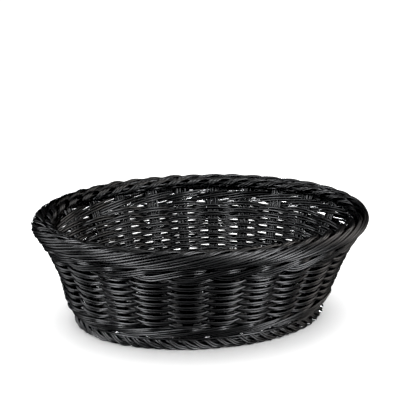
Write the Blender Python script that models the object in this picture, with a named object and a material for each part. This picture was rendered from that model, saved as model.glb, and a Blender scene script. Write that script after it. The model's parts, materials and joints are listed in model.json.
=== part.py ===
"""Oval woven fruit basket: strands of moulded cane on a ring of upright stakes.

The stakes stand in a groove in the foot border, carry the base mat on their
tails, hold every woven strand between them and end in a groove in the rim.
Run with:  blender --background --python part.py
"""
import math

import bpy
from mathutils import Matrix, Vector

MM = 0.001

# ---- the oval that every ring follows, measured at the stakes' feet
OVAL_HALF_LENGTH = 107.2 * MM
OVAL_HALF_WIDTH = 76.2 * MM

# ---- the wall, which leans outward by the same angle all the way round
WALL_START_Z = 8.0 * MM
WALL_LEAN = math.radians(23.4)
GAP = 0.3 * MM

# ---- how far the wall swells out from that lean: a belly all the way round, and
# ---- a fuller -X end, where this hand-made basket was pulled in less
BELLY = 1.6 * MM
BELLY_Z = 26.0 * MM
BELLY_SPREAD = 16.0 * MM
FULLER = 3.8 * MM
FULLER_Z = 18.0 * MM
FULLER_SPREAD = 20.0 * MM

# ---- stakes
STAKE_COUNT = 24
STAKE_TURN = -0.1                  # first stake, in stake spacings from the +X end
STAKE_THICKNESS = 2.0 * MM
STAKE_FOOT_WIDTH = 6.0 * MM
STAKE_TOP_WIDTH = 10.0 * MM
STAKE_FOOT_Z = 2.8 * MM
TAIL_LENGTH = 9.0 * MM
TAIL_LOW_Z = 8.3 * MM
TAIL_HIGH_Z = 9.8 * MM
SHAFT_STEP = 5.0 * MM              # spacing of the points that let the shaft follow the swelling
SHAFT_STEPS = 10                   # above these the wall is straight

# ---- woven strands
STRAND_HEIGHT = 3.2 * MM
STRAND_THICKNESS = 2.0 * MM
FIRST_STRAND_Z = 11.65 * MM
STRAND_RISE = 3.3 * MM
LOWER_WALE_STRANDS = 4
SIDE_WEAVE_STRANDS = 15
UPPER_WALE_STRANDS = 3
EDGE_MARGIN = 1.2 * MM             # how far a float runs on past its stake's edge

# ---- base mat
MAT_INSET = 2.5 * MM
MAT_LOW_Z = TAIL_HIGH_Z + GAP
MAT_THICKNESS = 3.5 * MM
MAT_SIDES = 96

# ---- rim border
RIM_CENTRE_Z = 90.3 * MM
RIM_HALF_THICKNESS = 7.2 * MM
RIM_INNER_THICKNESS = 11.6 * MM    # from the centre in over the inner row of loops
RIM_INNER_FROM = math.radians(100.0)
RIM_INNER_TO = math.radians(200.0)
RIM_HALF_HEIGHT = 8.1 * MM
RIM_GROOVE_DEPTH = 4.6 * MM
RIM_ARC_POINTS = 10
RIM_ARC_START = math.radians(-80.0)
RIM_ARC_SWEEP = math.radians(300.0)

# ---- foot border
FOOT_INNER = -4.0 * MM
FOOT_OUTER = 8.8 * MM
FOOT_HEIGHT = 8.0 * MM
FOOT_EDGE = 1.5 * MM
FOOT_GROOVE_FLOOR_Z = 2.5 * MM

# ---- colours: linear RGB, roughness
CANE_BLACK = (0.022, 0.022, 0.024)
CANE_ROUGHNESS = 0.38
STAKE_BLACK = (0.016, 0.016, 0.018)
STAKE_ROUGHNESS = 0.45

SAMPLES = 7200                     # steps for measuring along the oval


def clear_scene():
    for thing in list(bpy.data.objects):
        bpy.data.objects.remove(thing, do_unlink=True)


def new_collection(name, hidden):
    collection = bpy.data.collections.new(name)
    collection.hide_render = hidden
    bpy.context.scene.collection.children.link(collection)
    return collection


def make_material(name, colour, roughness):
    material = bpy.data.materials.new(name)
    material.use_nodes = True
    shader = material.node_tree.nodes["Principled BSDF"]
    shader.inputs["Base Color"].default_value = (*colour, 1.0)
    shader.inputs["Roughness"].default_value = roughness
    shader.inputs["Metallic"].default_value = 0.0
    return material


def wall_offset(z):
    """How far the wall has moved out from the foot oval at height z."""
    return (z - WALL_START_Z) * math.tan(WALL_LEAN)


def oval_point(angle):
    return Vector((OVAL_HALF_LENGTH * math.cos(angle), OVAL_HALF_WIDTH * math.sin(angle), 0.0))


def oval_normal(angle):
    normal = Vector((OVAL_HALF_WIDTH * math.cos(angle), OVAL_HALF_LENGTH * math.sin(angle), 0.0))
    return normal.normalized()


def swell(angle, z):
    """How far the wall stands out from its straight lean; the foot below it moves as one."""
    height = max(z, WALL_START_Z)
    belly = BELLY * math.exp(-(((height - BELLY_Z) / BELLY_SPREAD) ** 2))
    fuller = FULLER * math.exp(-(((height - FULLER_Z) / FULLER_SPREAD) ** 2))
    return belly + fuller * max(-math.cos(angle), 0.0) ** 2


def swell_out(mesh):
    """Push a mesh, given in the basket's frame, out along the oval's normal."""
    for vertex in mesh.vertices:
        angle = math.atan2(vertex.co.y / OVAL_HALF_WIDTH, vertex.co.x / OVAL_HALF_LENGTH)
        vertex.co += swell(angle, vertex.co.z) * oval_normal(angle)


def stake_angles():
    """Oval angles of the stakes, evenly spaced along the wall at half its height."""
    middle = wall_offset(0.5 * (WALL_START_Z + RIM_CENTRE_Z))
    angles = [2.0 * math.pi * i / SAMPLES for i in range(SAMPLES + 1)]
    points = [oval_point(a) + middle * oval_normal(a) for a in angles]
    travelled = [0.0]
    for before, after in zip(points, points[1:]):
        travelled.append(travelled[-1] + (after - before).length)
    total = travelled[-1]
    found = []
    for k in range(STAKE_COUNT):
        wanted = ((k + STAKE_TURN) % STAKE_COUNT) / STAKE_COUNT * total
        i = next(j for j, t in enumerate(travelled) if t >= wanted)
        found.append(angles[i])
    return found


ANGLES = stake_angles()


def stake_width(z):
    share = (z - WALL_START_Z) / (RIM_CENTRE_Z - WALL_START_Z)
    share = min(max(share, 0.0), 1.0)
    return STAKE_FOOT_WIDTH + share * (STAKE_TOP_WIDTH - STAKE_FOOT_WIDTH)


def ring_path(z, shifts, margin, halfway=False):
    """Points of a ring: both edges of each stake, shifted in or out along the wall's normal."""
    points = []
    half = 0.5 * stake_width(z) + margin
    for k, angle in enumerate(ANGLES):
        normal = oval_normal(angle)
        along = Vector((-normal.y, normal.x, 0.0))
        out = wall_offset(z) + shifts[k] * math.cos(WALL_LEAN)
        height = z - shifts[k] * math.sin(WALL_LEAN)
        centre = oval_point(angle) + out * normal + Vector((0.0, 0.0, height))
        points.append(centre - half * along)
        points.append(centre + half * along)
        if halfway:
            after = ANGLES[(k + 1) % STAKE_COUNT]
            if after < angle:
                after += 2.0 * math.pi
            between = 0.5 * (angle + after)
            middle = oval_point(between) + wall_offset(z) * oval_normal(between)
            points.append(middle + Vector((0.0, 0.0, z)))
    return points


def make_profile(name, corners, collection):
    """A closed section for a swept ring, laid clockwise so that the swept faces point out."""
    curve = bpy.data.curves.new(name, "CURVE")
    curve.dimensions = "2D"
    curve.fill_mode = "NONE"
    spline = curve.splines.new("POLY")
    spline.points.add(len(corners) - 1)
    for point, (across, up) in zip(spline.points, reversed(corners)):
        point.co = (across, up, 0.0, 1.0)
    spline.use_cyclic_u = True
    profile = bpy.data.objects.new(name, curve)
    profile.hide_render = True
    profile.display_type = "WIRE"
    collection.objects.link(profile)
    return profile


def make_ring(name, path, profile, material, collection, smooth=True):
    curve = bpy.data.curves.new(name, "CURVE")
    curve.dimensions = "3D"
    curve.twist_mode = "Z_UP"
    curve.bevel_mode = "OBJECT"
    curve.bevel_object = profile
    spline = curve.splines.new("POLY")
    spline.points.add(len(path) - 1)
    for point, place in zip(spline.points, path):
        point.co = (*place, 1.0)
    spline.use_cyclic_u = True
    spline.use_smooth = smooth
    curve.materials.append(material)
    swept = bpy.data.objects.new(f"{name}_sweep", curve)
    collection.objects.link(swept)
    graph = bpy.context.evaluated_depsgraph_get()
    mesh = bpy.data.meshes.new_from_object(swept.evaluated_get(graph))
    bpy.data.objects.remove(swept, do_unlink=True)
    mesh.name = name
    swell_out(mesh)
    ring = bpy.data.objects.new(name, mesh)
    collection.objects.link(ring)
    return ring


def leaning(u, v):
    """A point u up the wall and v out of it, as (out, up)."""
    out = u * math.sin(WALL_LEAN) + v * math.cos(WALL_LEAN)
    up = u * math.cos(WALL_LEAN) - v * math.sin(WALL_LEAN)
    return out, up


def strand_corners():
    u = 0.5 * STRAND_HEIGHT
    v = 0.5 * STRAND_THICKNESS
    return [leaning(-u, -v), leaning(-u, v), leaning(u, v), leaning(u, -v)]


def weave_shifts(row, run_outside, run_inside):
    """Which side of each stake a strand passes, as shifts from the wall's middle."""
    reach = 0.5 * STAKE_THICKNESS + GAP + 0.5 * STRAND_THICKNESS
    period = run_outside + run_inside
    shifts = []
    for k in range(STAKE_COUNT):
        outside = (k + row) % period < run_outside
        shifts.append(reach if outside else -reach)
    return shifts


def make_strands(material, collection, helpers):
    profile = make_profile("strand_section", strand_corners(), helpers)
    names = []
    names += [("lower_wale_strand", i + 1, 3, 1) for i in range(LOWER_WALE_STRANDS)]
    names += [("side_weave_strand", i + 1, 1, 1) for i in range(SIDE_WEAVE_STRANDS)]
    names += [("upper_wale_strand", i + 1, 2, 1) for i in range(UPPER_WALE_STRANDS)]
    for row, (label, number, outside, inside) in enumerate(names):
        z = FIRST_STRAND_Z + row * STRAND_RISE
        shifts = weave_shifts(row + 1, outside, inside)
        path = ring_path(z, shifts, EDGE_MARGIN)
        make_ring(f"{label}_{number:02d}", path, profile, material, collection)


def rim_corners():
    """Section of the rolled border: an oval, wider inside, with a groove for the stakes' tops."""
    half_groove = 0.5 * STAKE_THICKNESS + GAP
    groove_floor = RIM_HALF_HEIGHT - RIM_GROOVE_DEPTH
    corners = []
    for i in range(RIM_ARC_POINTS):
        turn = RIM_ARC_START + RIM_ARC_SWEEP * i / (RIM_ARC_POINTS - 1)
        inner = RIM_INNER_FROM < turn < RIM_INNER_TO
        across = RIM_INNER_THICKNESS if inner else RIM_HALF_THICKNESS
        corners.append((across * math.cos(turn), RIM_HALF_HEIGHT * math.sin(turn)))
    corners.append(leaning(-RIM_HALF_HEIGHT, -half_groove))
    corners.append(leaning(-groove_floor, -half_groove))
    corners.append(leaning(-groove_floor, half_groove))
    corners.append(leaning(-RIM_HALF_HEIGHT, half_groove))
    return corners


def make_rim(material, collection, helpers):
    profile = make_profile("rim_section", rim_corners(), helpers)
    path = ring_path(RIM_CENTRE_Z, [0.0] * STAKE_COUNT, EDGE_MARGIN, halfway=True)
    return make_ring("rim_border", path, profile, material, collection)


def foot_corners():
    """Flat-bottomed section of the foot border, with a groove above for the stakes' feet."""
    half_groove = 0.5 * STAKE_THICKNESS + GAP
    return [
        (FOOT_INNER, 0.0),
        (FOOT_OUTER - FOOT_EDGE, 0.0),
        (FOOT_OUTER, FOOT_EDGE),
        (FOOT_OUTER, FOOT_HEIGHT - FOOT_EDGE),
        (FOOT_OUTER - FOOT_EDGE, FOOT_HEIGHT),
        (half_groove, FOOT_HEIGHT),
        (half_groove, FOOT_GROOVE_FLOOR_Z),
        (-half_groove, FOOT_GROOVE_FLOOR_Z),
        (-half_groove, FOOT_HEIGHT),
        (FOOT_INNER, FOOT_HEIGHT),
    ]


def make_foot(material, collection, helpers):
    profile = make_profile("foot_section", foot_corners(), helpers)
    path = ring_path(WALL_START_Z, [0.0] * STAKE_COUNT, EDGE_MARGIN, halfway=True)
    flat = [Vector((p.x, p.y, 0.0)) for p in path]
    return make_ring("foot_border", flat, profile, material, collection, smooth=False)


def make_base_mat(material, collection):
    bpy.ops.mesh.primitive_cylinder_add(
        vertices=MAT_SIDES,
        radius=1.0,
        depth=MAT_THICKNESS,
        location=(0.0, 0.0, MAT_LOW_Z + 0.5 * MAT_THICKNESS),
    )
    mat = bpy.context.object
    mat.name = "base_mat"
    mat.scale = (OVAL_HALF_LENGTH - MAT_INSET, OVAL_HALF_WIDTH - MAT_INSET, 1.0)
    bpy.ops.object.transform_apply(location=False, rotation=False, scale=True)
    mat.data.materials.append(material)
    for owner in list(mat.users_collection):
        owner.objects.unlink(mat)
    collection.objects.link(mat)
    return mat


def stake_outline():
    """Side view of a stake: an upright foot, a tail under the mat and the leaning shaft."""
    half = 0.5 * STAKE_THICKNESS
    top = RIM_CENTRE_Z - (RIM_HALF_HEIGHT - RIM_GROOVE_DEPTH + GAP) * math.cos(WALL_LEAN)
    top_out = wall_offset(top)
    bend = half * math.tan(0.5 * WALL_LEAN)
    level_half = half / math.cos(WALL_LEAN)
    across, down = half * math.cos(WALL_LEAN), half * math.sin(WALL_LEAN)
    heights = [WALL_START_Z + (i + 1) * SHAFT_STEP for i in range(SHAFT_STEPS)]
    return [
        (-half, STAKE_FOOT_Z),
        (half, STAKE_FOOT_Z),
        (half, WALL_START_Z - bend),
        *[(wall_offset(z) + level_half, z) for z in heights],
        (top_out + across, top - down),
        (top_out - across, top + down),
        *[(wall_offset(z) - level_half, z) for z in reversed(heights)],
        (wall_offset(TAIL_HIGH_Z) - level_half, TAIL_HIGH_Z),
        (-half - TAIL_LENGTH, TAIL_HIGH_Z),
        (-half - TAIL_LENGTH, TAIL_LOW_Z),
        (wall_offset(TAIL_LOW_Z) - level_half, TAIL_LOW_Z),
        (-half, WALL_START_Z + bend),
    ]


def stake_curve():
    """The outline filled and given the foot's width, lying flat for the moment."""
    curve = bpy.data.curves.new("stake_side_view", "CURVE")
    curve.dimensions = "2D"
    curve.fill_mode = "BOTH"
    curve.extrude = 0.5 * STAKE_FOOT_WIDTH
    spline = curve.splines.new("POLY")
    outline = stake_outline()
    spline.points.add(len(outline) - 1)
    for point, (out, up) in zip(spline.points, outline):
        point.co = (out, up, 0.0, 1.0)
    spline.use_cyclic_u = True
    return curve


def stake_mesh(material):
    """One stake, upright, widening from the foot to the rim."""
    shape = bpy.data.objects.new("stake_shape", stake_curve())
    bpy.context.scene.collection.objects.link(shape)
    graph = bpy.context.evaluated_depsgraph_get()
    mesh = bpy.data.meshes.new_from_object(shape.evaluated_get(graph))
    bpy.data.objects.remove(shape, do_unlink=True)
    mesh.name = "stake"
    for vertex in mesh.vertices:
        out, up, side = vertex.co
        widen = stake_width(up) / STAKE_FOOT_WIDTH
        vertex.co = (out, -side * widen, up)
    mesh.materials.clear()
    mesh.materials.append(material)
    return mesh


def make_stakes(material, collection):
    """Stakes alike but for the swelling, which is worked out in the basket's frame."""
    straight = stake_mesh(material)
    for k, angle in enumerate(ANGLES):
        normal = oval_normal(angle)
        turn = math.atan2(normal.y, normal.x)
        place = Matrix.Translation(oval_point(angle)) @ Matrix.Rotation(turn, 4, "Z")
        mesh = straight.copy()
        mesh.transform(place)
        swell_out(mesh)
        mesh.transform(place.inverted())
        stake = bpy.data.objects.new(f"stake_{k + 1:02d}", mesh)
        stake.location = oval_point(angle)
        stake.rotation_euler = (0.0, 0.0, turn)
        collection.objects.link(stake)


def parent_to_origin(collection):
    origin = bpy.data.objects.new("basket_origin", None)
    collection.objects.link(origin)
    for thing in collection.objects:
        if thing is not origin:
            thing.parent = origin


def build():
    clear_scene()
    basket = new_collection("woven_fruit_basket", hidden=False)
    helpers = new_collection("section_profiles", hidden=True)
    cane = make_material("woven_cane", CANE_BLACK, CANE_ROUGHNESS)
    stake_cane = make_material("stake_cane", STAKE_BLACK, STAKE_ROUGHNESS)
    border_cane = make_material("border_cane", CANE_BLACK, CANE_ROUGHNESS)
    mat_cane = make_material("mat_cane", STAKE_BLACK, CANE_ROUGHNESS)
    make_foot(border_cane, basket, helpers)
    make_base_mat(mat_cane, basket)
    make_stakes(stake_cane, basket)
    make_strands(cane, basket, helpers)
    make_rim(border_cane, basket, helpers)
    parent_to_origin(basket)


build()
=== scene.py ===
# %% [markdown]
# # A woven oval basket in black cane
# The real object is an oval bread and fruit basket, about 30 cm long, plaited by
# hand from thin round canes. About two dozen upright stakes lean outwards,
# weavers run in and out between them, and a rolled border closes the top and
# the foot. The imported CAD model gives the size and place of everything, so it is
# loaded first, and each piece below stands for one or more of its nodes.

import json
import math

import bpy
import numpy as np
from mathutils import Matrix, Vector

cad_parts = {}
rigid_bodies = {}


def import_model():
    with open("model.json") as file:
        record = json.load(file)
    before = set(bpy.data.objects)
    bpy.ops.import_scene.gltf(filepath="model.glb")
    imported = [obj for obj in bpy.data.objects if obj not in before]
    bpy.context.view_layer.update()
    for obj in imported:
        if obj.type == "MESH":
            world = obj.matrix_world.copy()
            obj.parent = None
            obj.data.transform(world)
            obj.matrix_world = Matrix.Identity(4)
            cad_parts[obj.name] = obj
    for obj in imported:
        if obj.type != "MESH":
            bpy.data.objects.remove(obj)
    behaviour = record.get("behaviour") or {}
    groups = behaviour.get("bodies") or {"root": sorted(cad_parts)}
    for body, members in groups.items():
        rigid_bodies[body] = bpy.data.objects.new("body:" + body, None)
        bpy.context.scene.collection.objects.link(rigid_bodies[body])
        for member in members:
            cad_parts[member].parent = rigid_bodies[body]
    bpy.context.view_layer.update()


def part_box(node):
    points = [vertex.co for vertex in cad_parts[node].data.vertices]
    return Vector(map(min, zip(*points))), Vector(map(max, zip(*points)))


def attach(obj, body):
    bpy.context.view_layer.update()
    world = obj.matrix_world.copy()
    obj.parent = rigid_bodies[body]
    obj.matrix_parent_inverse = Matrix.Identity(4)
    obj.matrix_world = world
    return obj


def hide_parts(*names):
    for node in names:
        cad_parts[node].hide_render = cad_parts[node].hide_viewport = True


for thing in list(bpy.data.objects):
    bpy.data.objects.remove(thing, do_unlink=True)

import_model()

# %% [markdown]
# ## The camera
# The basket is seen from a little above, turned so that its left end is
# slightly nearer. A long lens keeps the oval calm, as in a catalogue picture.
# The camera is placed by turning and lifting a line of sight round one target
# point, which is easier to adjust than typed positions.

# %% Place the camera
TURN = math.radians(-12.507)
LIFT = math.radians(21.84)
DISTANCE = 0.8966
TARGET = Vector((0.0, 0.0, 0.024))
LENS, SENSOR = 88.59, 36.0
# how far the line of sight passes above and left of the target, as shares of the distance
AIM_ABOVE, AIM_LEFT = 0.0880829, 0.00188967



def direction(turn, lift):
    """The way from the basket to a place at this turn and lift; turn 0 is the front."""
    level = math.cos(lift)
    return Vector((math.sin(turn) * level, -math.cos(turn) * level, math.sin(lift)))


toward_camera = direction(TURN, LIFT)
right = Vector((math.cos(TURN), math.sin(TURN), 0.0))
above = toward_camera.cross(right)
aim = TARGET + above * (DISTANCE * AIM_ABOVE) - right * (DISTANCE * AIM_LEFT)

camera_data = bpy.data.cameras.new("camera")
camera_data.lens = LENS
camera_data.sensor_width = SENSOR
camera = bpy.data.objects.new("camera", camera_data)
bpy.context.scene.collection.objects.link(camera)
camera.location = TARGET + DISTANCE * toward_camera
sight = aim - camera.location
camera.rotation_euler = sight.to_track_quat("-Z", "Y").to_euler()
bpy.context.scene.camera = camera
print("camera stands at", [round(value, 3) for value in camera.location])

# %% [markdown]
# ## The studio
# Black cane shows its shape by what it reflects, so the light matters more than
# the colour. Two tall soft boxes, left and right, put a bright band on each
# float, and seven weaker ones pick out the ends, the crest, the top and the back.
# All nine make highlights only. A wide sun from above lights the pale floor and
# nothing else, which is light linking, and a weak one lights the basket. The
# world is nearly dark, with a white backdrop that only the camera sees, and a
# small black point in the view settings keeps the gaps in the weave black.

# %% Set the floor, the world and the lights
BLACK_POINT = 0.0038
FLOOR_SIZE, FADE_FROM, FADE_TO = 14.0, 0.30, 0.80
WHITE_STRENGTH, FILL_STRENGTH = 1.1, 0.008
scene = bpy.context.scene
scene.view_settings.view_transform = "Standard"
scene.view_settings.use_curve_mapping = True
grade = scene.view_settings.curve_mapping
grade.black_level = (BLACK_POINT, BLACK_POINT, BLACK_POINT)
grade.update()

bpy.ops.mesh.primitive_plane_add(size=FLOOR_SIZE, location=(0.0, 0.0, 0.0))
floor = bpy.context.object
floor.name = "studio_floor"

floor_paint = bpy.data.materials.new("studio_floor_paint")
floor_paint.use_nodes = True
floor_nodes, floor_links = floor_paint.node_tree.nodes, floor_paint.node_tree.links
paint = floor_nodes["Principled BSDF"]
paint.inputs["Roughness"].default_value = 1.0
paint.inputs["Specular IOR Level"].default_value = 0.0
paint.inputs["Base Color"].default_value = (0.93, 0.93, 0.93, 1.0)
glow = floor_nodes.new("ShaderNodeEmission")
glow.inputs["Strength"].default_value = WHITE_STRENGTH
floor_place = floor_nodes.new("ShaderNodeTexCoord")
reach_out = floor_nodes.new("ShaderNodeVectorMath")
reach_out.operation = "LENGTH"
fade = floor_nodes.new("ShaderNodeMapRange")
fade.interpolation_type = "SMOOTHSTEP"
fade.inputs["From Min"].default_value = FADE_FROM
fade.inputs["From Max"].default_value = FADE_TO
blend = floor_nodes.new("ShaderNodeMixShader")
floor_links.new(floor_place.outputs["Object"], reach_out.inputs[0])
floor_links.new(reach_out.outputs["Value"], fade.inputs["Value"])
floor_links.new(fade.outputs["Result"], blend.inputs["Fac"])
floor_links.new(paint.outputs["BSDF"], blend.inputs[1])
floor_links.new(glow.outputs["Emission"], blend.inputs[2])
floor_links.new(blend.outputs["Shader"], floor_nodes["Material Output"].inputs["Surface"])
floor.data.materials.append(floor_paint)
floor.visible_glossy = False
floor.visible_shadow = False
floor.visible_diffuse = False

world = bpy.data.worlds.new("studio_world")
world.use_nodes = True
scene.world = world
world_nodes, world_links = world.node_tree.nodes, world.node_tree.links
fill = world_nodes["Background"]
fill.inputs["Color"].default_value = (0.97, 0.98, 1.0, 1.0)
fill.inputs["Strength"].default_value = FILL_STRENGTH
backdrop = world_nodes.new("ShaderNodeBackground")
backdrop.inputs["Color"].default_value = (1.0, 1.0, 1.0, 1.0)
backdrop.inputs["Strength"].default_value = WHITE_STRENGTH
ray = world_nodes.new("ShaderNodeLightPath")
choose = world_nodes.new("ShaderNodeMixShader")
world_links.new(ray.outputs["Is Camera Ray"], choose.inputs["Fac"])
world_links.new(fill.outputs["Background"], choose.inputs[1])
world_links.new(backdrop.outputs["Background"], choose.inputs[2])
world_links.new(choose.outputs["Shader"], world_nodes["World Output"].inputs["Surface"])


BOX_DISTANCE, BOX_CENTRE = 1.5, Vector((0.0, 0.0, 0.05))


def soft_box(name, turn, lift, width, height, power, colour=(1.0, 1.0, 1.0)):
    """An area light on a sphere round the basket, facing it; turn is from the camera."""
    light = bpy.data.lights.new(name, "AREA")
    light.shape = "RECTANGLE"
    light.size, light.size_y, light.energy, light.color = width, height, power, colour
    lamp = bpy.data.objects.new(name, light)
    scene.collection.objects.link(lamp)
    away = direction(TURN + math.radians(turn), math.radians(lift))
    lamp.location = BOX_CENTRE + BOX_DISTANCE * away
    lamp.rotation_euler = (-away).to_track_quat("-Z", "Y").to_euler()
    lamp.visible_diffuse = False


COOL, WARM = (0.96, 0.97, 1.0), (1.0, 0.95, 0.91)
soft_box("left_box", -42.0, 14.0, 0.45, 2.6, 38.0, COOL)
soft_box("right_box", 45.0, 14.0, 0.42, 2.6, 38.0, COOL)
soft_box("front_fill", 0.0, 10.0, 1.2, 2.4, 2.6, COOL)
soft_box("left_side_box", -98.0, 4.0, 0.6, 1.6, 7.5, COOL)
soft_box("right_side_box", 98.0, 4.0, 0.6, 1.6, 5.5, WARM)
soft_box("left_crest_box", -92.0, 34.0, 0.6, 0.9, 5.0, COOL)
soft_box("right_crest_box", 108.0, 38.0, 0.6, 0.9, 6.0, WARM)
soft_box("back_box", 180.0, -20.0, 0.8, 0.8, 60.0, COOL)
soft_box("top_box", 60.0, 78.0, 1.0, 0.8, 5.0)


SUN_ANGLE = math.radians(100.0)


def overhead(name, energy, receivers=None):
    """A very wide sun from straight above; given receivers, it lights nothing else."""
    sky = bpy.data.lights.new(name, "SUN")
    sky.energy = energy
    sky.angle = SUN_ANGLE
    lamp = bpy.data.objects.new(name, sky)
    scene.collection.objects.link(lamp)
    lamp.visible_glossy = False
    if receivers:
        group = bpy.data.collections.new(name + "_receivers")
        for thing in receivers:
            group.objects.link(thing)
        lamp.light_linking.receiver_collection = group


overhead("floor_light", 6.2, [floor])
overhead("overhead_light", 0.7)

# %% [markdown]
# ## The finish of the cane
# Every part is the same dyed cane, but the weavers are a little shinier than the
# stakes, and the border is handled most. Three effects are shared: fine fibres
# that run along each cane, a tone that differs from cane to cane, and a light
# dust that dulls the shine. The fibres and the tone come from one node group and
# the dust from another, so that the four materials can use them with their own
# values. The fibres read an attribute that the cane maker below writes: round the
# cane, then along it in metres.

# %% Node groups for fibres and dust
def new_group(name, inputs, outputs):
    """An empty node group with named sockets; a socket is (name, type, default)."""
    group = bpy.data.node_groups.new(name, "ShaderNodeTree")
    for socket, kind, default in inputs:
        made = group.interface.new_socket(name=socket, in_out="INPUT", socket_type=kind)
        made.default_value = default
    for socket, kind in outputs:
        group.interface.new_socket(name=socket, in_out="OUTPUT", socket_type=kind)
    return group, group.nodes.new("NodeGroupInput"), group.nodes.new("NodeGroupOutput")


def maths(tree, operation, first, second):
    """A Math node; each operand is a number or an output socket."""
    node = tree.nodes.new("ShaderNodeMath")
    node.operation = operation
    for slot, value in zip(node.inputs, (first, second)):
        if isinstance(value, (int, float)):
            slot.default_value = value
        else:
            tree.links.new(value, slot)
    return node.outputs["Value"]


fibre_group, fibre_in, fibre_out = new_group(
    "cane_fibres",
    [("Fibres Round", "NodeSocketFloat", 3.0), ("Fibres Along", "NodeSocketFloat", 60.0)],
    [("Fibre", "NodeSocketFloat"), ("Tone", "NodeSocketFloat"), ("Height", "NodeSocketFloat")])
way = fibre_group.nodes.new("ShaderNodeAttribute")
way.attribute_name = "cane_way"
tone = fibre_group.nodes.new("ShaderNodeAttribute")
tone.attribute_name = "cane_tone"
split = fibre_group.nodes.new("ShaderNodeSeparateXYZ")
join = fibre_group.nodes.new("ShaderNodeCombineXYZ")
fibre_group.links.new(way.outputs["Vector"], split.inputs[0])
for axis, amount in (("X", "Fibres Round"), ("Y", "Fibres Round"), ("Z", "Fibres Along")):
    scaled = maths(fibre_group, "MULTIPLY", split.outputs[axis], fibre_in.outputs[amount])
    fibre_group.links.new(scaled, join.inputs[axis])
fibre_noise = fibre_group.nodes.new("ShaderNodeTexNoise")
fibre_noise.noise_dimensions = "4D"
fibre_noise.inputs["Scale"].default_value = 1.0
fibre_noise.inputs["Detail"].default_value = 3.0
fibre_group.links.new(join.outputs["Vector"], fibre_noise.inputs["Vector"])
fibre_group.links.new(maths(fibre_group, "MULTIPLY", tone.outputs["Fac"], 40.0), fibre_noise.inputs["W"])
fibre_group.links.new(fibre_noise.outputs["Fac"], fibre_out.inputs["Fibre"])
fibre_group.links.new(tone.outputs["Fac"], fibre_out.inputs["Tone"])
fibre_group.links.new(fibre_noise.outputs["Fac"], fibre_out.inputs["Height"])

dust_group, dust_in, dust_out = new_group(
    "cane_dust",
    [("Patch Size", "NodeSocketFloat", 30.0), ("Speck Size", "NodeSocketFloat", 600.0)],
    [("Dust", "NodeSocketFloat")])
place = dust_group.nodes.new("ShaderNodeTexCoord")
patches = dust_group.nodes.new("ShaderNodeTexNoise")
patches.inputs["Detail"].default_value = 4.0
specks = dust_group.nodes.new("ShaderNodeTexNoise")
specks.inputs["Detail"].default_value = 2.0
for noise, size in ((patches, "Patch Size"), (specks, "Speck Size")):
    dust_group.links.new(place.outputs["Object"], noise.inputs["Vector"])
    dust_group.links.new(dust_in.outputs[size], noise.inputs["Scale"])
both = maths(dust_group, "MULTIPLY", patches.outputs["Fac"], specks.outputs["Fac"])
dust_group.links.new(maths(dust_group, "MULTIPLY", both, 2.0), dust_out.inputs["Dust"])
print("node groups:", [group.name for group in bpy.data.node_groups])

# %% Build the four cane finishes
FIBRE_DEPTH, COAT, COAT_ROUGHNESS = 0.00018, 0.1, 0.22


def cane_finish(name, dark, light, dull, shiny):
    """Dyed cane: colour between dark and light, roughness between shiny and dull."""
    material = bpy.data.materials.new(name)
    material.use_nodes = True
    tree = material.node_tree
    nodes, links = tree.nodes, tree.links
    shader = nodes["Principled BSDF"]
    fibres = nodes.new("ShaderNodeGroup")
    fibres.node_tree = fibre_group
    fibres.inputs["Fibres Round"].default_value = 2.6
    fibres.inputs["Fibres Along"].default_value = 45.0
    dust = nodes.new("ShaderNodeGroup")
    dust.node_tree = dust_group
    dust.inputs["Patch Size"].default_value = 28.0
    dust.inputs["Speck Size"].default_value = 900.0

    shade = maths(tree, "ADD", maths(tree, "MULTIPLY", fibres.outputs["Fibre"], 0.6),
                  maths(tree, "MULTIPLY", fibres.outputs["Tone"], 0.4))
    colours = nodes.new("ShaderNodeValToRGB")
    colours.color_ramp.elements[0].position = 0.25
    colours.color_ramp.elements[0].color = (*dark, 1.0)
    colours.color_ramp.elements[1].position = 0.75
    colours.color_ramp.elements[1].color = (*light, 1.0)
    links.new(shade, colours.inputs["Fac"])
    links.new(colours.outputs["Color"], shader.inputs["Base Color"])

    gloss = nodes.new("ShaderNodeMapRange")
    gloss.inputs["From Min"].default_value = 0.2
    gloss.inputs["From Max"].default_value = 0.9
    gloss.inputs["To Min"].default_value = shiny
    gloss.inputs["To Max"].default_value = dull
    mixed = maths(tree, "ADD", maths(tree, "MULTIPLY", dust.outputs["Dust"], 0.7),
                  maths(tree, "MULTIPLY", fibres.outputs["Tone"], 0.4))
    links.new(mixed, gloss.inputs["Value"])
    links.new(gloss.outputs["Result"], shader.inputs["Roughness"])

    bump = nodes.new("ShaderNodeBump")
    bump.inputs["Strength"].default_value = 0.5
    bump.inputs["Distance"].default_value = FIBRE_DEPTH
    links.new(fibres.outputs["Height"], bump.inputs["Height"])
    links.new(bump.outputs["Normal"], shader.inputs["Normal"])
    shader.inputs["Specular IOR Level"].default_value = 0.5
    shader.inputs["Coat Weight"].default_value = COAT
    shader.inputs["Coat Roughness"].default_value = COAT_ROUGHNESS
    return material


DEEP, WORN = (0.004, 0.004, 0.0046), (0.011, 0.011, 0.012)
BORDER_DEEP, BORDER_WORN = (0.0045, 0.0045, 0.005), (0.0125, 0.0122, 0.013)
woven_finish = cane_finish("woven_cane_finish", DEEP, WORN, 0.38, 0.24)
border_finish = cane_finish("border_cane_finish", BORDER_DEEP, BORDER_WORN, 0.38, 0.24)
stake_finish = cane_finish("stake_cane_finish", DEEP, WORN, 0.42, 0.28)
mat_finish = cane_finish("mat_cane_finish", DEEP, WORN, 0.42, 0.28)

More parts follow.
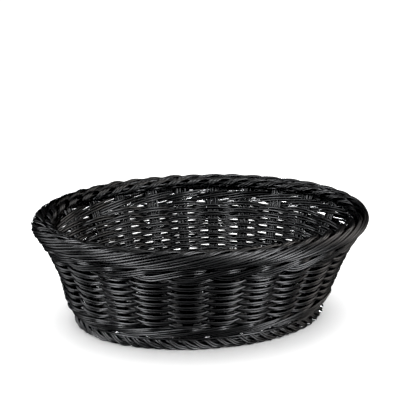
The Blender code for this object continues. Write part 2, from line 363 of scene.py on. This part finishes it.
# %% [markdown]
# ## The oval and the wall
# Every cane follows the same oval at its own distance from it, so a place is
# given as a stake number that may be a fraction, a height, and a distance out
# from the middle of the wall. Stakes are evenly spaced along the oval, not in
# angle, which takes a small table: walk round once, add up the length and look
# up the angle for each share of it. NumPy does this for all points at a time.

# %% Measure the oval and make the helpers
MM = 0.001
STAKES = 24
STAKE_TURN = -0.1
LEAN = math.radians(23.4)
WALL_FOOT = 8.0 * MM
MAT_INSET = 2.5 * MM
BELLY, BELLY_Z, BELLY_SPREAD = 1.6 * MM, 26.0 * MM, 16.0 * MM
FULLER, FULLER_Z, FULLER_SPREAD = 3.8 * MM, 18.0 * MM, 20.0 * MM

mat_low, mat_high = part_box("base_mat")
rim_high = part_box("rim_border")[1]
HALF_LONG = mat_high[0] + MAT_INSET
HALF_WIDE = mat_high[1] + MAT_INSET
RIM_HALF_THICK, RIM_HALF_TALL = 7.2 * MM, 8.1 * MM
RIM_OUT = rim_high[0] - RIM_HALF_THICK - HALF_LONG
RIM_Z = rim_high[2] - RIM_HALF_TALL
print("oval half-axes and rim in mm:", [round(size / MM, 1) for size in (HALF_LONG, HALF_WIDE, RIM_OUT)])


def oval(angle, out):
    """The point at this angle on the oval, moved out along its normal, and the normal."""
    angle, out = np.broadcast_arrays(np.asarray(angle, float), np.asarray(out, float))
    normal = np.stack([HALF_WIDE * np.cos(angle), HALF_LONG * np.sin(angle)], -1)
    normal /= np.linalg.norm(normal, axis=-1, keepdims=True)
    point = np.stack([HALF_LONG * np.cos(angle), HALF_WIDE * np.sin(angle)], -1)
    return point + out[..., None] * normal, normal


def wall_out(height):
    """How far out the middle of the wall is: a straight lean with a slight belly low down."""
    belly = BELLY * np.exp(-((height - BELLY_Z) / BELLY_SPREAD) ** 2)
    return (height - WALL_FOOT) * math.tan(LEAN) + belly


def fuller(angle, height):
    """Hand-made baskets are never even: this one is a little fuller low down at its left end."""
    left_end = np.clip(-np.cos(angle), 0.0, 1.0) ** 2
    return FULLER * left_end * np.exp(-((height - FULLER_Z) / FULLER_SPREAD) ** 2)


def length_table(out):
    """Angle and share of the way round, for an oval this far out."""
    turn = np.linspace(0.0, 2.0 * math.pi, 7201)
    points = oval(turn, out)[0]
    steps = np.r_[0.0, np.cumsum(np.linalg.norm(np.diff(points, axis=0), axis=1))]
    return turn, steps


wall_turn, wall_steps = length_table(wall_out(0.5 * (WALL_FOOT + RIM_Z)))
rim_turn, rim_steps = length_table(RIM_OUT)
foot_turn, foot_steps = length_table(0.0)
RIM_LENGTH, FOOT_LENGTH = rim_steps[-1], foot_steps[-1]


def angle_at(share, turn, steps):
    """Angle for a share of the way round, which may be below 0 or over 1."""
    whole = np.floor(share)
    return np.interp((share - whole) * steps[-1], steps, turn) + whole * 2.0 * math.pi


def wall_point(stake, height, out):
    """A place on the wall by stake number, height and distance out of it."""
    angle = angle_at((np.asarray(stake, float) + STAKE_TURN) / STAKES, wall_turn, wall_steps)
    height, out = np.asarray(height, float), np.asarray(out, float)
    flat, _ = oval(angle, wall_out(height) + fuller(angle, height) + out * math.cos(LEAN))
    z = np.broadcast_to(height - out * math.sin(LEAN), flat.shape[:-1])
    return np.concatenate([flat, z[..., None]], -1)


print("wall, rim and foot, way round in mm:",
      [round(length / MM) for length in (wall_steps[-1], RIM_LENGTH, FOOT_LENGTH)])

# %% [markdown]
# ## A maker for canes
# A cane is a long round rod, so each is a curve with a round bevel, which is
# then turned into a mesh. One curve object holds all the canes of a piece. The
# ends are filled in edit mode, so that every cane is a closed solid, and two
# attributes are written for the finish: where a point is round and along its
# cane, and a tone for the whole cane.

# %% The cane maker
rng = np.random.default_rng(24)
CORNERS = 8
pieces = []


def lay_canes(name, ways, thickness, finish, replaces, closed=False, corners=CORNERS):
    """One piece made of round canes; ways is a list of point arrays."""
    curve = bpy.data.curves.new(name, "CURVE")
    curve.dimensions = "3D"
    curve.bevel_depth = thickness / 2.0
    curve.bevel_resolution = (corners - 4) // 2
    for points in ways:
        spline = curve.splines.new("POLY")
        spline.points.add(len(points) - 1)
        spline.points.foreach_set("co", np.c_[points, np.ones(len(points))].ravel())
        spline.use_cyclic_u = closed
    piece = bpy.data.objects.new(name, curve)
    scene.collection.objects.link(piece)
    bpy.ops.object.select_all(action="DESELECT")
    piece.select_set(True)
    bpy.context.view_layer.objects.active = piece
    bpy.ops.object.convert(target="MESH")
    piece = bpy.context.object
    mesh = piece.data
    mesh.name = name

    turn = 2.0 * math.pi * np.arange(corners) / corners
    way, tone = [], []
    for points in ways:
        run = np.r_[0.0, np.cumsum(np.linalg.norm(np.diff(points, axis=0), axis=1))]
        block = np.zeros((len(points), corners, 3))
        block[..., 0], block[..., 1] = np.cos(turn), np.sin(turn)
        block[..., 2] = run[:, None]
        way.append(block.reshape(-1, 3))
        tone.append(np.full(len(points) * corners, rng.random()))
    way, tone = np.concatenate(way), np.concatenate(tone)
    assert len(way) == len(mesh.vertices), name
    mesh.attributes.new("cane_way", "FLOAT_VECTOR", "POINT").data.foreach_set("vector", way.ravel())
    mesh.attributes.new("cane_tone", "FLOAT", "POINT").data.foreach_set("value", tone)

    bpy.ops.object.mode_set(mode="EDIT")
    bpy.ops.mesh.select_all(action="SELECT")
    bpy.ops.mesh.fill_holes(sides=corners)
    bpy.ops.mesh.normals_make_consistent(inside=False)
    bpy.ops.object.mode_set(mode="OBJECT")
    bpy.ops.object.shade_smooth_by_angle(angle=math.radians(60.0))
    mesh.materials.append(finish)
    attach(piece, "root")
    if replaces:
        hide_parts(*replaces)
    pieces.append(piece)
    return piece


def count(piece):
    return sum(len(face.vertices) - 2 for face in piece.data.polygons)


# %% [markdown]
# ## The stakes
# Each stake is a flat bundle of five canes that stands in the foot border,
# bends outwards just above it and follows the wall up into the rim. The canes lie
# close together at the foot and spread towards the top, where the oval is
# longer, so their distance apart grows with height.

# %% Make the twenty-four stakes
CANE = 2.35 * MM
STAKE_CANES = 5
STAKE_FOOT_Z, STAKE_TOP_Z = 3.0 * MM, 88.0 * MM
FOOT_SPREAD, TOP_SPREAD = 1.35 * MM, 2.6 * MM

stake_shift = rng.normal(0.0, 0.4 * MM, STAKES)
stake_tilt = rng.normal(0.0, 0.5 * MM, STAKES)
for number in range(STAKES):
    upright = np.linspace(STAKE_FOOT_Z, WALL_FOOT, 3)
    heights = np.r_[upright[:-1], np.linspace(WALL_FOOT, STAKE_TOP_Z, 14)]
    climb = (heights - STAKE_FOOT_Z) / (STAKE_TOP_Z - STAKE_FOOT_Z)
    ways = []
    for cane in range(STAKE_CANES):
        apart = (FOOT_SPREAD + (TOP_SPREAD - FOOT_SPREAD) * climb) * (cane - 0.5 * (STAKE_CANES - 1))
        drift = stake_shift[number] + stake_tilt[number] * climb + rng.normal(0.0, 0.12 * MM, len(heights))
        in_out = (0.25 if cane % 2 else -0.25) * MM + rng.normal(0.0, 0.06 * MM, len(heights))
        angle = angle_at((number + STAKE_TURN) / STAKES, wall_turn, wall_steps)
        out = np.maximum(wall_out(heights), 0.0) + fuller(angle, heights) + in_out * math.cos(LEAN)
        flat, normal = oval(np.full(len(heights), angle), out)
        along = np.stack([-normal[:, 1], normal[:, 0]], -1)
        flat = flat + along * (apart + drift)[:, None]
        ways.append(np.c_[flat, heights - in_out * math.sin(LEAN)])
    node = f"stake_{number + 1:02d}"
    stake = lay_canes(f"stake_bundle_{number + 1:02d}", ways, CANE, stake_finish, [node],
                      corners=6)
print("stakes:", STAKES, "of", STAKE_CANES, "canes, triangles each", count(stake))

# %% [markdown]
# ## The side weave
# A weaver is two canes that run together, in front of one stake and behind the
# next, and every following round does the opposite. Where a float passes a
# stake its two canes lie one above the other and sag a little. Between the
# stakes they squeeze together to cross the wall. A smooth wave along the stake
# number gives the in and out, and small random moves keep it hand-made.

# %% Weave the fifteen side rounds
REACH = 2.55 * MM
SAG = 0.67 * MM
STEPS = 12
SIDE_ROWS = range(4, 19)


def row_height(node):
    low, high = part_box(node)
    return 0.5 * (low[2] + high[2])


def spread_noise(size, steps=STEPS):
    """A random value at each stake, eased in between."""
    values = rng.normal(0.0, size, STAKES)
    spot = np.arange(STAKES * steps) / steps
    here = np.floor(spot).astype(int)
    ease = 0.5 - 0.5 * np.cos(math.pi * (spot - here))
    return values[here % STAKES] * (1.0 - ease) + values[(here + 1) % STAKES] * ease


def pair_of_canes(stake, height, side, plump):
    """The two canes of a weaver: stacked on a float, closer at a crossing."""
    float_share = side ** 2
    ways = []
    for half in (-1.0, 1.0):
        up = half * (0.88 + 0.29 * float_share) * MM * plump - SAG * side + spread_noise(0.10 * MM)
        out = REACH * side + half * 0.5 * MM * (1.0 - float_share) + spread_noise(0.08 * MM)
        ways.append(wall_point(stake, height + up * math.cos(LEAN), out))
    return ways


stake_line = np.arange(STAKES * STEPS) / STEPS
for row in SIDE_ROWS:
    node = f"side_weave_strand_{row - 3:02d}"
    wave = -np.cos(math.pi * (stake_line + row))
    side = wave * (1.25 - 0.25 * wave ** 2)
    height = row_height(node) + spread_noise(0.17 * MM)
    plump = 1.0 + 0.16 * min(1.0, max(0.0, (row - 12) / 4.0))
    ways = pair_of_canes(stake_line, height, side, plump)
    weaver = lay_canes(f"side_weaver_{row - 3:02d}", ways, CANE * plump, woven_finish, [node],
                       closed=True)
print("side rounds:", len(SIDE_ROWS), "triangles each", count(weaver))

# %% [markdown]
# ## The wales
# A wale is a band that locks the weave: several weavers are worked at once,
# each passing in front of several stakes and behind one, every one a stake
# further on. The lower wale has four weavers over three stakes, so its floats
# climb through three levels, and three plain canes lie locked under it. The
# upper one has three weavers over two stakes, each of three canes.

# %% Work the two wales
def wale_ways(rods, bottom, top, reach_extra, stack):
    """Each rod climbs from the bottom level to the top one over its float."""
    ways = []
    for rod in range(rods):
        phase = np.mod(stake_line + rod + 1.0, rods)
        key_phase = np.array([-1.0, -0.5, 0.0, rods - 2.0, rods - 1.5, rods - 1.0, rods - 0.5, rods])
        behind = -REACH
        front = REACH + reach_extra
        under, over = front - 0.5 * MM, front + 0.7 * MM
        key_out = np.array([behind, 0.0, under, over, 0.0, behind, 0.0, under])
        middle = 0.5 * (bottom + top)
        key_up = np.array([middle, 0.5 * (middle + bottom), bottom, top, 0.5 * (middle + top), middle,
                           0.5 * (middle + bottom), bottom])
        out = smooth(np.interp(phase, key_phase, key_out))
        level = smooth(np.interp(phase, key_phase, key_up))
        for lift in stack:
            up = lift * MM + spread_noise(0.08 * MM)
            ways.append(wall_point(stake_line, level + up * math.cos(LEAN), out + spread_noise(0.22 * MM)))
    return ways


def smooth(values, width=5):
    """A running mean that wraps round the basket."""
    shifts = range(-(width // 2), width // 2 + 1)
    return sum(np.roll(values, shift) for shift in shifts) / width


lower_nodes = [f"lower_wale_strand_{number:02d}" for number in range(1, 5)]
upper_nodes = [f"upper_wale_strand_{number:02d}" for number in range(1, 4)]
lower_ways = wale_ways(4, 13.4 * MM, 23.2 * MM, 0.4 * MM, (-1.05, 1.05))
LOCKING_CANES = ((11.2, -2.5), (13.4, -2.6), (10.8, 2.3))       # height and distance out, mm
for height, out in LOCKING_CANES:
    level = height * MM + spread_noise(0.15 * MM)
    lower_ways.append(wall_point(stake_line, level, out * MM + spread_noise(0.15 * MM)))
LOWER_CANE, UPPER_CANE = 2.2 * MM, 2.45 * MM
lower_wale = lay_canes("lower_wale", lower_ways, LOWER_CANE, woven_finish, lower_nodes,
                       closed=True)
upper_ways = wale_ways(3, 74.2 * MM, 83.4 * MM, 0.8 * MM, (-2.4, 0.0, 2.4))
upper_wale = lay_canes("upper_wale", upper_ways, UPPER_CANE, woven_finish, upper_nodes,
                       closed=True)
print("wales, triangles:", count(lower_wale), count(upper_wale))

# %% [markdown]
# ## The rolled rim
# The stakes' ends are bent over and rolled round a core. On the outside the
# canes lie almost along the rim and climb slowly; at the crest they gather into
# bundles of three, roll over and dive down inside. A bundle's path is a winding
# round the core: the angle round it grows slowly, then fast. An inner row of
# smaller loops, also in threes, covers the ends along the inside.

# %% Lay the core and the rolled bundles
RIM_BUNDLES = 40
RIM_CANE = 2.35 * MM


def rim_point(share, around, shrink):
    """A place on the rim: share of the way round, angle round the core, depth under its skin."""
    angle = angle_at(share, rim_turn, rim_steps)
    tuck = 1.0 * MM * np.clip(-np.sin(around), 0.0, 1.0) * np.clip(np.cos(around) + 0.4, 0.0, 1.0)
    out = RIM_OUT + (RIM_HALF_THICK - shrink) * np.cos(around) - tuck
    flat, _ = oval(angle, out)
    z = RIM_Z + (RIM_HALF_TALL - shrink) * np.sin(around)
    return np.concatenate([flat, np.broadcast_to(z, flat.shape[:-1])[..., None]], -1)


RING_POINTS = 192
core_share = np.arange(RING_POINTS) / RING_POINTS
outer_core = [(turn, 3.2 * MM) for turn in range(0, 360, 36)]
inner_core = [(turn, 5.4 * MM) for turn in range(0, 360, 90)]
core_ways = []
for turn, depth in outer_core + inner_core:
    wobble = 0.25 * MM * np.sin(2.0 * math.pi * (5 * core_share + rng.random()))
    core_ways.append(rim_point(core_share, np.full(RING_POINTS, math.radians(turn)), depth + wobble))
CORE_CANE = 2.6 * MM
rim_core = lay_canes("rim_core", core_ways, CORE_CANE, border_finish, ["rim_border"],
                     closed=True, corners=6)


def ease_path(values, width=5):
    """Round the corners of a path of numbers, leaving its two ends."""
    padded = np.r_[np.full(width // 2, values[0]), values, np.full(width // 2, values[-1])]
    return np.convolve(padded, np.ones(width) / width, mode="valid")


OUTER_RUN, INNER_RUN = 85.0 * MM, 25.0 * MM
roll_ways = []
for bundle in range(RIM_BUNDLES):
    start = bundle * RIM_LENGTH / RIM_BUNDLES + rng.normal(0.0, 0.6 * MM)
    for cane in range(3):
        step = cane - 1.0
        along = np.r_[np.linspace(-OUTER_RUN, 0.0, 17)[:-1], np.linspace(0.0, INNER_RUN, 11)]
        around = np.interp(along, [-OUTER_RUN, 0.0, INNER_RUN], np.radians([-108.0, 62.0, 150.0]))
        around = ease_path(around)
        outer_share = np.clip(-along / OUTER_RUN, 0.0, 1.0)
        shift = step * (3.6 * MM + 1.4 * MM * np.clip(outer_share * 3.0, 0.0, 1.0))
        buried = np.clip(outer_share * 5.0, 0.0, 1.0)
        sunk = (cane == 1) * (2.9 * MM * buried - 0.6 * MM) + (cane == 2) * 0.7 * MM * buried
        sunk = sunk + rng.normal(0.0, 0.2 * MM)
        bulge = 0.4 * MM * np.exp(-((np.degrees(around) - 115.0) / 45.0) ** 2)
        tail = 0.6 * MM * np.clip(-np.degrees(around) - 80.0, 0.0, 28.0) / 28.0
        dive = 3.0 * MM * np.clip((np.degrees(around) - 95.0) / 55.0, 0.0, 1.0) ** 2
        depth = RIM_CANE / 2.0 + sunk - bulge + tail + dive
        roll_ways.append(rim_point((start + along + shift) / RIM_LENGTH, around, depth))
rim_roll = lay_canes("rim_roll", roll_ways, RIM_CANE, border_finish, ["rim_border"])

# %% Lay the inner row of loops
ROW_RUN, ROW_PATH = 25.0 * MM, np.linspace(0.0, 1.0, 12)
ROW_OUT, ROW_Z, ROW_HALF = RIM_OUT - 6.6 * MM, RIM_Z + 1.6 * MM, 5.0 * MM
loop_ways = []
for bundle in range(RIM_BUNDLES):
    start = (bundle + 0.5) * RIM_LENGTH / RIM_BUNDLES + rng.normal(0.0, 0.7 * MM)
    around = ease_path(np.radians(np.interp(ROW_PATH, [0.0, 0.45, 1.0], [25.0, 105.0, 225.0])))
    for cane in range(3):
        proud = 1.0 if cane == 1 else 0.3
        skin = 0.7 * MM * np.sin(math.pi * ROW_PATH) * proud + rng.normal(0.0, 0.15 * MM)
        along = start + ROW_RUN * ROW_PATH + (cane - 1.0) * 3.7 * MM
        radius = ROW_HALF - RIM_CANE / 2.0 + skin
        flat, _ = oval(angle_at(along / RIM_LENGTH, rim_turn, rim_steps), ROW_OUT + radius * np.cos(around))
        loop_ways.append(np.c_[flat, ROW_Z + radius * np.sin(around)])
ROW_RINGS = ((2.6, 90.0), (4.6, 88.0), (6.4, 91.8))             # distance in from the rim's middle, height, mm
ring_share = np.arange(RING_POINTS + 1) / RING_POINTS
for out, z in ROW_RINGS:
    flat, _ = oval(angle_at(ring_share, rim_turn, rim_steps), RIM_OUT - out * MM)
    loop_ways.append(np.c_[flat, np.full(RING_POINTS + 1, z * MM)])
rim_loops = lay_canes("rim_inner_loops", loop_ways, RIM_CANE, border_finish, ["rim_border"],
                      corners=6)
print("rim: bundles", RIM_BUNDLES, "triangles", count(rim_core), count(rim_roll), count(rim_loops))

# %% [markdown]
# ## The plaited foot
# The foot is a smaller border of the same kind: pairs of canes leave the wall,
# lean over and run along the ground behind the next pairs. It is made like the
# rim, from one path that is repeated sixty times, and a few plain canes run
# right round inside it.

# %% Plait the foot
FOOT_PAIRS = 60
FOOT_CANE = 2.35 * MM
FOOT_RUN = 22.0 * MM
# how far along, how far out and how high the middle of a pair is
FOOT_PATH = MM * np.array([[0.0, 0.0, 11.4], [2.2, 2.4, 11.0], [5.2, 4.1, 8.8], [9.0, 4.7, 5.6],
                           [13.0, 4.5, 3.1], [17.5, 3.0, 1.8], [22.0, 0.6, 1.3]])


def foot_point(share, out, height):
    angle = angle_at(share, foot_turn, foot_steps)
    flat, _ = oval(angle, out + 0.7 * fuller(angle, FULLER_Z))
    return np.concatenate([flat, np.broadcast_to(height, flat.shape[:-1])[..., None]], -1)


foot_ways = []
for pair in range(FOOT_PAIRS):
    start = pair * FOOT_LENGTH / FOOT_PAIRS + rng.normal(0.0, 0.6 * MM)
    drop = abs(rng.normal(0.0, 0.7 * MM))
    along = np.linspace(0.0, FOOT_RUN, 18)
    out = ease_path(np.interp(along, FOOT_PATH[:, 0], FOOT_PATH[:, 1]))
    height = ease_path(np.interp(along, FOOT_PATH[:, 0], FOOT_PATH[:, 2]))
    height = height - drop * np.clip(1.0 - along / (9.0 * MM), 0.0, 1.0)
    flatten = np.clip((along - 8.0 * MM) / (10.0 * MM), 0.0, 1.0)
    for half in (-1.0, 1.0):
        shift = half * (1.35 + 0.3 * flatten) * MM
        spread = half * 0.6 * MM * flatten + rng.normal(0.0, 0.12 * MM)
        foot_ways.append(foot_point((start + along + shift) / FOOT_LENGTH, out - spread,
                                    np.maximum(height + spread, FOOT_CANE / 2.0)))
EDGE_POINTS = 144
# distance out and height of the plain canes inside the foot, mm
FOOT_RINGS = ((1.6, 6.4), (1.6, 4.0), (0.0, 8.2), (0.0, 4.4), (-2.4, 2.4), (0.6, 2.0), (-1.4, 6.0))
foot_share = np.arange(EDGE_POINTS + 1) / EDGE_POINTS
for out, height in FOOT_RINGS:
    foot_ways.append(foot_point(foot_share, np.full(EDGE_POINTS + 1, out * MM),
                                np.full(EDGE_POINTS + 1, height * MM)))
foot = lay_canes("foot_plait", foot_ways, FOOT_CANE, border_finish, ["foot_border"])
print("foot: pairs", FOOT_PAIRS, "triangles", count(foot))

# %% [markdown]
# ## The base mat
# The bottom is a plain weave: flat bundles run across the basket, and pairs of
# canes run lengthwise over and under them. It is the same wave as in the wall,
# laid flat and cut to the oval. Canes laid round the edge close the gap to the
# wall.

# %% Weave the base mat
MAT_Z = 0.5 * (mat_low[2] + mat_high[2])
CROSS_PITCH, LONG_PITCH = 18.0 * MM, 4.6 * MM
mat_ways = []
half_long, half_wide = mat_high[0] - CANE / 2.0, mat_high[1] - CANE / 2.0
crosses = np.arange(-5, 6) * CROSS_PITCH
for cross in crosses:
    for cane in range(4):
        x = cross + (cane - 1.5) * 1.9 * MM
        reach = half_wide * math.sqrt(max(0.0, 1.0 - (x / half_long) ** 2))
        mat_ways.append(np.array([[x, y, MAT_Z] for y in np.linspace(-reach, reach, 8)]))
for line in range(-15, 16):
    y = line * LONG_PITCH
    reach = half_long * math.sqrt(max(0.0, 1.0 - (y / half_wide) ** 2))
    for half in (-1.0, 1.0):
        x = np.linspace(-reach, reach, max(12, int(2.0 * reach / (CROSS_PITCH / 8.0))))
        over = np.cos(math.pi * (x / CROSS_PITCH + line))
        z = MAT_Z + 1.5 * MM * over * (1.25 - 0.25 * over ** 2)
        sway = np.full(len(x), y) + half * 1.05 * MM + rng.normal(0.0, 0.1 * MM)
        mat_ways.append(np.c_[x, sway, z])
MAT_CANE = 2.3 * MM
MAT_RINGS = ((-3.0, 1.6), (-1.0, 2.2), (1.2, 0.4), (3.3, 1.3), (5.4, 0.4))   # distance in and lift, mm
mat_turn = np.linspace(0.0, 2.0 * math.pi, EDGE_POINTS + 1)
for inset, lift in MAT_RINGS:
    edge, _ = oval(mat_turn, -MAT_INSET - inset * MM)
    mat_ways.append(np.c_[edge, np.full(EDGE_POINTS + 1, MAT_Z + lift * MM)])
mat = lay_canes("base_weave", mat_ways, MAT_CANE, mat_finish, ["base_mat"], corners=6)
print("mat: canes", len(mat_ways), "triangles", count(mat))

# %% [markdown]
# ## Wrap up
# The pieces and their triangles are counted and printed.

# %% Count the pieces and triangles
print("pieces:", len(pieces), "triangles:", sum(count(piece) for piece in pieces))
